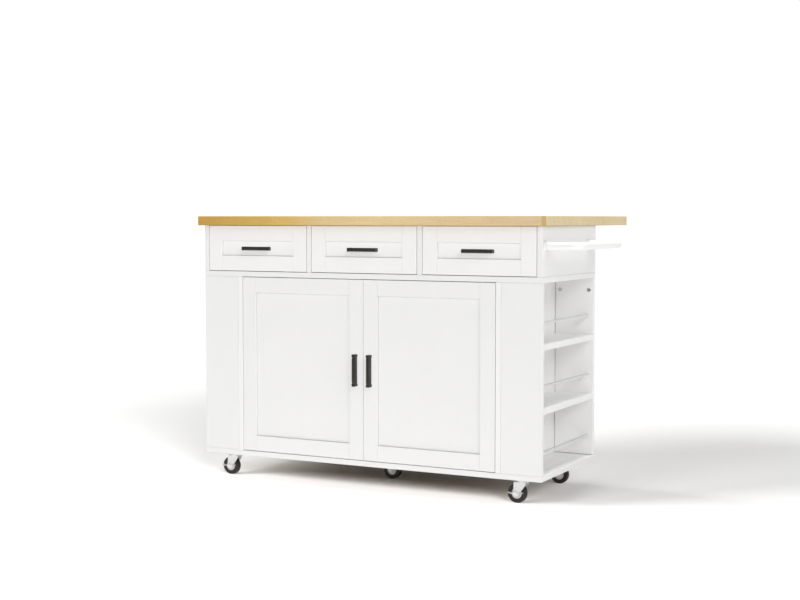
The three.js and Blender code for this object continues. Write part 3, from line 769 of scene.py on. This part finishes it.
def make_runners(name):
    """A two-part ball-bearing runner on each side of a drawer box."""
    low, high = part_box(f"drawer_box_{name}")
    clearance, sheet, gap = 13 * MM, 1.2 * MM, 0.2 * MM
    z = low.z + 50 * MM
    start = low.y + 2 * MM
    length = high.y - low.y - 12 * MM
    for side, end in SIDES:
        edge_x = high.x if side > 0 else low.x
        outward = side * RIGHT
        outer, inner = bmesh.new(), bmesh.new()
        onto_wall = oriented((edge_x + side * (clearance - gap), start, z), -outward, UP, BACK)
        prism(outer, channel(45 * MM, 11 * MM, 5 * MM, sheet), length, onto_wall, 0.2 * MM, 1)
        onto_box = oriented((edge_x + side * gap, start, z), outward, UP, BACK)
        prism(inner, channel(33 * MM, 9.5 * MM, 4 * MM, sheet), length, onto_box, 0.2 * MM, 1)
        for y in (start + 30 * MM, start + length / 2, start + length - 30 * MM):
            screw(inner, (edge_x + side * (gap + sheet), y, z), outward, 3.6 * MM, 1.2 * MM)
        piece(f"runner_outer_{name}_{end}", outer, runner_steel, "cabinet")
        piece(f"runner_inner_{name}_{end}", inner, runner_steel, f"drawer_{name}")


# ---- towel bar and guard rods


def make_towel_bar():
    """A round tube bent out from the side, with a flange round each leg."""
    low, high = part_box("towel_bar")
    radius = (high.z - low.z) / 2
    bend, steps, segments = 30 * MM, 18, 48
    z = (low.z + high.z) / 2
    bend_x = high.x - radius - bend
    start, end = low.y + radius, high.y - radius
    path = [(low.x, start)] + arc((bend_x, start + bend), bend, -90, 0, steps)
    path += arc((bend_x, end - bend), bend, 0, 90, steps) + [(low.x, end)]
    points = [Vector((x, y, z)) for x, y in path]
    points = [points[0] - RIGHT, *points, points[-1] - RIGHT]  # the legs point straight out
    bm = bmesh.new()
    rings = []
    for before, point, after in zip(points, points[1:], points[2:]):
        ahead = (after - before).normalized()
        place = oriented(point, ahead.cross(UP), UP, ahead)
        rings.append(ring(bm, place, [radius] * segments, 0))
    skin(bm, rings)
    bm.faces.new(rings[0])
    bm.faces.new(rings[-1])
    piece("towel_bar_tube", bm, tube_paint, "cabinet", ["towel_bar"])
    for end_name in ("front", "rear"):
        make_towel_flange(f"towel_flange_{end_name}", radius + 0.3 * MM)


def make_towel_flange(node, bore):
    """A round flange with softened rims, against the side panel."""
    low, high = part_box(node)
    centre = (low + high) / 2
    outer = (high.z - low.z) / 2
    thick = high.x - low.x
    profile = [
        (bore, 0), (outer - 0.5 * MM, 0), (outer, 0.5 * MM), (outer, thick - 2 * MM),
        (outer - 0.6 * MM, thick - 0.8 * MM), (outer - 2 * MM, thick), (bore + 0.5 * MM, thick),
        (bore, thick - 0.5 * MM),
    ]
    bm = bmesh.new()
    turned(bm, profile, placed((low.x, centre.y, centre.z), RIGHT), 56, True)
    piece(f"{node}_ring", bm, tube_paint, "cabinet", [node])


def make_guard_rods():
    """Three rods across each end's niches; the left three mirror the right ones."""
    centre_x = sum(corner.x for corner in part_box("mid_board")) / 2
    for level in ("lower", "middle", "upper"):
        node = f"niche_rail_{level}"
        low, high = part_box(node)
        centre = (low + high) / 2
        radius = (high.z - low.z) / 2
        for side, name in SIDES:
            x = centre_x + side * (centre.x - centre_x)
            bm = bmesh.new()
            rod(bm, (x, low.y, centre.z), (x, high.y, centre.z), radius, 0.3 * MM, 40)
            replaced = [node] if side > 0 else []
            # the rods take the darker copy of the paint, as painted shade
            piece(f"guard_rod_{name}_{level}", bm, rod_paint_shaded, "cabinet", replaced)


# ---- leaf hinge and stays


def make_leaf_hinge():
    """A long strip hinge: two sheets of knuckles on one pin, screwed up into the wood."""
    axis = pivots["leaf_fold"]
    full_low, full_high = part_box("leaf_hinge_fixed")
    knuckles, knuckle_gap, screws, first_screw = 65, 0.3 * MM, 20, 32 * MM
    barrel, sheet, lap = 3.5 * MM, 1.2 * MM, 0.5 * MM
    pitch = (full_high.x - full_low.x) / knuckles
    screw_pitch = (full_high.x - full_low.x - 2 * first_screw) / (screws - 1)
    for side, half, body in ((-1, "fixed", "cabinet"), (1, "moving", "leaf")):
        node = f"leaf_hinge_{half}"
        low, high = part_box(node)
        top = high.z
        first_knuckle, end_inset = (0, 0) if side < 0 else (1, 20 * MM)
        outer = low.y if side < 0 else high.y
        near = axis.y + side * (barrel + 0.7 * MM)
        y0, y1 = sorted((outer, near))
        bm = bmesh.new()
        sheet_low = (full_low.x + end_inset, y0, top - sheet)
        box(bm, sheet_low, (full_high.x - end_inset, y1, top), 0.25 * MM)
        t0, t1 = sorted((axis.y, near + side * lap))
        for k in range(first_knuckle, knuckles, 2):
            x0 = full_low.x + k * pitch + knuckle_gap / 2
            x1 = x0 + pitch - knuckle_gap
            rod(bm, (x0, axis.y, axis.z), (x1, axis.y, axis.z), barrel, METAL_EDGE, 24)
            box(bm, (x0, t0, top - sheet), (x1, t1, top), 0)
        for k in range(screws):
            x = full_low.x + first_screw + screw_pitch * k
            screw(bm, (x, (outer + near) / 2, top - sheet), DOWN, 3.4 * MM, 0.8 * MM)
        piece(f"{node}_strip", bm, hinge_steel, body, [node])
    bm = bmesh.new()
    stand_out = 0.3 * MM
    pin_start = (full_low.x - stand_out, axis.y, axis.z)
    pin_end = (full_high.x + stand_out, axis.y, axis.z)
    rod(bm, pin_start, pin_end, 1.4 * MM, 0.3 * MM, 16)
    piece("leaf_hinge_pin", bm, nickel, "cabinet")


def make_stays():
    for _, name in SIDES:
        pivot = pivots[f"stay_{name}_fold"]
        make_stay_bracket(name, pivot)
        make_stay_arm(name, pivot)
        make_stay_rail(name)


def make_stay_bracket(name, pivot):
    """A wall plate with two ears, which carry the arm's pin between them."""
    node = f"stay_bracket_{name}"
    low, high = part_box(node)
    ear_sheet, ear_gap, plate = 2 * MM, 3 * MM, 2 * MM
    plate_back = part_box("upper_back")[1].y + 0.3 * MM
    outline = rounded_rectangle(high.z - low.z, 34 * MM, 5 * MM)
    bm = bmesh.new()
    prism(bm, outline, plate, oriented((pivot.x, plate_back, pivot.z), UP, RIGHT, BACK), METAL_EDGE)
    foot = plate_back + plate - 0.2 * MM - pivot.y
    ear = [(foot, -11 * MM)] + arc((0, 0), 5.5 * MM, -90, 90, 14) + [(foot, 11 * MM)]
    for x in (pivot.x - ear_gap - ear_sheet, pivot.x + ear_gap):
        prism(bm, ear, ear_sheet, oriented((x, pivot.y, pivot.z), BACK, UP, RIGHT), 0.3 * MM)
    rod(bm, (low.x, pivot.y, pivot.z), pivot + 7 * MM * RIGHT, 3 * MM)  # the pin
    for outward in (-RIGHT, RIGHT):
        head = placed(pivot + (ear_gap + ear_sheet) * outward, outward)
        turned(bm, mm((0, 0), (4.6, 0), (4.6, 0.7), (3, 1.9), (0, 2.2)), head, 32)
    for dx in (-11 * MM, 11 * MM):
        for dz in (-24 * MM, 24 * MM):
            at = (pivot.x + dx, plate_back + plate, pivot.z + dz)
            screw(bm, at, BACK, 3.8 * MM, 1.6 * MM)
    piece(f"{node}_plate", bm, zinc, "cabinet", [node])


def make_stay_arm(name, pivot):
    """A flat bar with round ends, pressed ribs and a nylon roller."""
    node = f"stay_arm_{name}"
    body = f"stay_{name}"
    low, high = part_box(node)
    half_width, thick = 5.5 * MM, 3.6 * MM
    tip = Vector((pivot.x, high.y - half_width, high.z - half_width))
    along = (tip - pivot).normalized()
    length = (tip - pivot).length
    outline = arc((0, 0), half_width, 90, 270, 14) + arc((length, 0), half_width, -90, 90, 14)
    place = oriented(pivot - thick / 2 * RIGHT, along, RIGHT.cross(along), RIGHT)
    bm = bmesh.new()
    prism(bm, outline, thick, place, 0.7 * MM, 3)
    rib = rounded_rectangle(length - 40 * MM, 4 * MM, 1.9 * MM)
    for face in (-0.5 * MM, thick - 0.3 * MM):
        middle = Matrix.Translation((length / 2, 0, face))
        prism(bm, rib, 0.8 * MM, place @ middle, 0.3 * MM)
    piece(f"{node}_bar", bm, zinc, body, [node])
    roller = placed(tip - 4 * MM * RIGHT, RIGHT)
    bm = bmesh.new()
    section = mm((1.8, 0), (4.6, 0), (5.5, 0.8), (5.5, 7.2), (4.6, 8), (1.8, 8))
    turned(bm, section, roller, 40, True)
    piece(f"stay_roller_{name}", bm, white_plastic, body)
    bm = bmesh.new()
    turned(bm, mm((0, -0.2), (1.7, -0.2), (1.7, 8.2), (0, 8.2)), roller, 24)
    piece(f"stay_roller_pin_{name}", bm, nickel, body)


def make_stay_rail(name):
    """A channel under the leaf, open downward, with a screw near each end of its web."""
    node = f"stay_rail_{name}"
    low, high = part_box(node)
    wall = 1.5 * MM
    middle, half, height = (low.x + high.x) / 2, (high.x - low.x) / 2, high.z - low.z
    right = [(half - wall, -wall), (half - wall, -height), (half, -height), (half, 0)]
    outline = [(-x, y) for x, y in reversed(right)] + right
    place = oriented((middle, low.y, high.z), RIGHT, UP, BACK)
    bm = bmesh.new()
    prism(bm, outline, high.y - low.y, place, 0.3 * MM)
    for y in (low.y + 6 * MM, high.y - 6 * MM):
        screw(bm, (middle, y, high.z - wall), DOWN, 3 * MM, 0.5 * MM)
    piece(f"{node}_channel", bm, zinc, "leaf", [node])


# ---- casters


FORK_SHEET = 2.5 * MM
FORK_INSIDE = 24 * MM  # between the legs
CROWN_RADIUS = 20.5 * MM


def make_caster(name):
    swivel = pivots[f"caster_{name}_swivel"]
    axle = pivots[f"wheel_{name}_spin"]
    make_caster_plate(name, swivel)
    make_fork(name, swivel, axle)
    make_wheel(name, axle)
    if name.startswith("front"):
        make_pedal(name, axle)


def make_caster_plate(name, swivel):
    """An oblong plate with a pressed bearing cup, screwed up into the bottom board."""
    length, width, thick, gap = 62 * MM, 53.32 * MM, 2.4 * MM, 0.1 * MM
    plate_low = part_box("bottom_board")[0].z - thick
    bm = bmesh.new()
    place = Matrix.Translation((swivel.x, swivel.y, plate_low - gap))
    prism(bm, rounded_rectangle(length, width, 6 * MM), thick, place, 0.5 * MM)
    cup = mm((0, -0.2), (17, -0.2), (16.6, 0.6), (15.8, 2), (15.6, 3.4), (15, 4.2), (0, 4.2))
    turned(bm, cup, placed((swivel.x, swivel.y, plate_low), DOWN), 48)
    for dx in (-24 * MM, 24 * MM):
        for dy in (-20 * MM, 20 * MM):
            at = (swivel.x + dx, swivel.y + dy, plate_low - gap)
            screw(bm, at, DOWN, 3.8 * MM, 1.8 * MM)
    piece(f"caster_plate_{name}", bm, zinc, "cabinet")


def make_fork(name, swivel, axle):
    """A pressed fork: a top web, two tapered legs, a bearing race, a rivet and the axle bolt."""
    node = f"caster_fork_{name}"
    low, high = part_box(node)
    half_width = FORK_INSIDE / 2 + FORK_SHEET
    top = axle.z * 2 + 6 * MM
    front = axle.x - 9 * MM
    rear = swivel.x + CROWN_RADIUS
    end_radius = 10 * MM
    leg = [(front, top - 2 * MM), (axle.x - end_radius, axle.z)]
    leg += arc((axle.x, axle.z), end_radius, 180, 318, 14)[1:]
    leg += [(rear - 7 * MM, top - 10 * MM)]
    leg += arc((rear - 8 * MM, top - 6 * MM), 4 * MM, -60, 0, 4)
    leg += [(rear - 4 * MM, top - 2 * MM), (rear - 6 * MM, top), (front + 2 * MM, top)]
    bm = bmesh.new()
    for y in (axle.y - half_width, axle.y + FORK_INSIDE / 2):
        prism(bm, leg, FORK_SHEET, oriented((0, y, 0), RIGHT, UP, BACK), 0.8 * MM, 3)
    skirt = arc((swivel.x, swivel.y), CROWN_RADIUS - 0.6 * MM, -52, 52, 16)
    web = [(front + MM, axle.y - half_width)] + skirt + [(front + MM, axle.y + half_width)]
    prism(bm, web, FORK_SHEET, Matrix.Translation((0, 0, top - FORK_SHEET)), 0.9 * MM, 3)

    race = mm(
        (0, 0), (15.4, 0), (16.6, 1.4), (16.7, 5.5), (16.2, 7.2), (15.2, 7.8), (14.4, 6.4),
        (12, 5.4), (0, 5.4),
    )
    turned(bm, race, placed((swivel.x, swivel.y, top - MM), UP), 56)
    rivet = mm((0, 0), (6, 0), (6, 1.2), (4, 2.6), (0, 2.9))
    turned(bm, rivet, placed((swivel.x, swivel.y, top - FORK_SHEET + 0.2 * MM), DOWN), 32)

    rod(bm, (axle.x, low.y + MM, axle.z), (axle.x, high.y - MM, axle.z), 4 * MM)
    nut, hexagon = 3 * MM, arc((0, 0), 6.5 * MM, 0, 300, 5)
    for outward, tip in ((FRONT, low.y), (BACK, high.y)):
        prism(bm, hexagon, nut, placed((axle.x, tip - outward.y * nut, axle.z), outward), 0.5 * MM)
        leg_face = axle.y + outward.y * half_width
        washer = min(0.8 * MM, abs(tip - leg_face) - 2.6 * MM)
        profile = [(0, -0.2 * MM), (8 * MM, -0.2 * MM), (8 * MM, washer), (0, washer)]
        turned(bm, profile, placed((axle.x, leg_face, axle.z), outward), 32)
    piece(f"{node}_pressing", bm, zinc, f"caster_{name}", [node])


def make_wheel(name, axle):
    """A round-shouldered tyre with a fine mould line round its middle, on a ribbed hub."""
    body = f"wheel_{name}"
    along = placed(axle, BACK)
    radius = axle.z
    shoulder, line = 3, 0.25 * MM
    section = mm((17.6, -9.2), (18.4, -9.9), (20.5, -10), (28.3, -10))
    section += mm(*arc((28.5, -7), shoulder, -90, 0, 7))
    section = [(min(r, radius), h) for r, h in section]
    mirrored = [(r, -h) for r, h in reversed(section)]
    section += [(radius, -2 * line), (radius - line, -line), (radius - line, line), (radius, 2 * line)]
    bm = bmesh.new()
    turned(bm, section + mirrored, along, 96, True)
    piece(f"tyre_{name}", bm, rubber, body, [f"caster_wheel_{name}"])

    bm = bmesh.new()
    hub = mm(
        (4.4, -11), (8.4, -11), (8.8, -10.6), (8.9, -7.6), (14.6, -7.2), (15.2, -9.4),
        (16.6, -9.6), (17.4, -9.3), (17.7, -8.6),
    )
    turned(bm, hub + [(r, -h) for r, h in reversed(hub)], along, 64, True)
    ribs, rib = 8, mm((8.6, -0.8), (15, -0.8), (15, 0.8), (8.6, 0.8))
    for k in range(ribs):
        turn = along @ Matrix.Rotation(2 * math.pi * k / ribs, 4, "Z")
        for start in (-9 * MM, 7 * MM):
            prism(bm, rib, 2 * MM, turn @ Matrix.Translation((0, 0, start)), 0.3 * MM, 1)
    piece(f"hub_{name}", bm, hub_plastic, body)


def make_pedal(name, axle):
    """A see-saw brake pedal with ribbed wings, outside the fork's front leg."""
    node = f"brake_pedal_{name}"
    low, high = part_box(node)
    back = high.y
    sheet, wing_length, wing_reach, corner = 1.8 * MM, 15 * MM, back - low.y, 3 * MM
    half = (high.x - low.x) / 2
    neck = half - wing_length + 2 * MM
    outline = [(-neck, -2 * MM)] + arc((0, 0), 8 * MM, 200, 340, 14) + [(neck, -2 * MM)]
    outline += [(neck, 3 * MM)] + arc((0, 0), 8 * MM, 25, 155, 10) + [(-neck, 3 * MM)]
    bm = bmesh.new()
    prism(bm, outline, sheet, oriented((axle.x, back, axle.z), RIGHT, UP, FRONT), 0.4 * MM)
    collar = mm((4.8, -0.4), (6.6, -0.4), (6.6, 0.8), (4.8, 0.8))
    turned(bm, collar, placed((axle.x, back - sheet, axle.z), FRONT), 32, True)
    tilt = math.radians(14)
    for side, _ in SIDES:
        root = Matrix.Translation((axle.x + side * (half - wing_length), back, axle.z))
        lean = root @ Matrix.Rotation(-side * tilt, 4, "Y")
        wing = [(0, -wing_reach), (side * (wing_length - corner), -wing_reach)]
        wing += [(side * wing_length, -wing_reach + corner), (side * wing_length, 0), (0, 0)]
        prism(bm, wing, sheet, lean, 0.5 * MM)
        rib = rounded_rectangle(1.2 * MM, wing_reach - 4 * MM, 0.5 * MM, 3)
        for from_root in (5 * MM, 8.2 * MM, 11.4 * MM):
            middle = Matrix.Translation((side * from_root, -wing_reach / 2, sheet - 0.2 * MM))
            prism(bm, rib, 0.7 * MM, lean @ middle, 0)
    piece(f"{node}_plate", bm, zinc, f"brake_{name}", [node])


make_boards()
make_shelf_pins()
make_cams()
make_doors()
make_drawers()
make_towel_bar()
make_guard_rods()
make_leaf_hinge()
make_stays()
for caster in CASTERS:
    make_caster(caster)


# ---- floor, light and camera


FLOOR_REACH = 60.0


def make_floor():
    """A wide pale floor with a barely uneven tone."""
    g = Graph("pale_floor", roughness=0.9)
    g.shader.inputs["Specular IOR Level"].default_value = 0.1
    colour = g.ramp(g.noise(1.3, 3.0), (0.3, (0.965, 0.962, 0.955)), (0.7, (0.975, 0.973, 0.968)))
    bm = bmesh.new()
    bmesh.ops.create_grid(bm, x_segments=1, y_segments=1, size=FLOOR_REACH)
    floor = mesh_object("floor", bm, g.finish(colour))
    return floor


SKY_LIGHT = 0.2  # what the surroundings give as a light and in reflections
SKY_SEEN = 1.1  # how bright they are behind the island


def make_world():
    """Plain white surroundings, which are dim as a light."""
    world = bpy.data.worlds.new("studio")
    world.use_nodes = True
    tree = world.node_tree
    tree.nodes.clear()
    ray = tree.nodes.new("ShaderNodeLightPath").outputs
    output = tree.nodes.new("ShaderNodeOutputWorld")
    shown = tree.nodes.new("ShaderNodeMixShader")
    for strength, socket in ((SKY_LIGHT, 1), (SKY_SEEN, 2)):
        glow = tree.nodes.new("ShaderNodeBackground")
        glow.inputs["Color"].default_value = (1, 1, 1, 1)
        glow.inputs["Strength"].default_value = strength
        tree.links.new(glow.outputs[0], shown.inputs[socket])
    tree.links.new(ray["Is Camera Ray"], shown.inputs[0])
    tree.links.new(shown.outputs[0], output.inputs["Surface"])
    scene.world = world


FLOOR_SUNS = (  # name, direction of travel, strength, angle across in degrees
    ("floor_key", (0.75, 0.66, -0.45), 2.9, 25),
    ("floor_left", (1.0, -0.1, -0.25), 1.55, 15),
    ("floor_front", (0.3, 1.0, -0.55), 0.68, 20),
    ("floor_right", (-1.0, 0.3, -0.25), 1.07, 20),
    ("floor_front_right", (-0.7, 0.7, -0.4), 2.36, 20),
)
ISLAND_SUNS = (
    ("front", (0.05, 1.0, -0.12), 0.26, 20),
    ("right", (-0.93, 0.42, -0.12), 0.13, 26),
    ("right_high", (-1.0, 0.35, -0.85), 0.56, 30),
    ("front_right", (-1.0, 1.07, -0.74), 0.57, 25),
    ("overhead", (0.0, -0.12, -1.0), 3.0, 20),
    ("behind", (0.8, -0.9, -0.5), 0.75, 30),
)


def make_sun(floor, floor_link, name, travel, strength, angle):
    """A distant light for the floor alone, or for everything but the floor."""
    data = bpy.data.lights.new(name, "SUN")
    data.energy = strength
    data.angle = math.radians(angle)
    sun = add_object(name, data)
    sun.rotation_euler = Vector(travel).to_track_quat("-Z", "Y").to_euler()
    lit = bpy.data.collections.new(f"{name}_lit")
    lit.objects.link(floor)
    lit.collection_objects[0].light_linking.link_state = floor_link
    sun.light_linking.receiver_collection = lit


def make_lights(floor):
    for suns, floor_link in ((FLOOR_SUNS, "INCLUDE"), (ISLAND_SUNS, "EXCLUDE")):
        for sun in suns:
            make_sun(floor, floor_link, *sun)


CAMERA_PLACE = (2.214, -4.46091, 0.91238)
CAMERA_TURN = 27.598  # degrees to the left of straight back
CAMERA_DROP = 3.319  # degrees below level
CAMERA_LENS = 63.108
SENSOR_WIDTH = 36.0


def make_camera():
    data = bpy.data.cameras.new("camera")
    data.lens = CAMERA_LENS
    data.sensor_width = SENSOR_WIDTH
    data.clip_end = 3 * FLOOR_REACH
    camera = add_object("camera", data)
    camera.location = CAMERA_PLACE
    camera.rotation_euler = (math.radians(90 - CAMERA_DROP), 0, math.radians(CAMERA_TURN))
    scene.camera = camera


make_lights(make_floor())
make_world()
make_camera()
scene.view_settings.view_transform = "Standard"

bpy.context.view_layer.update()
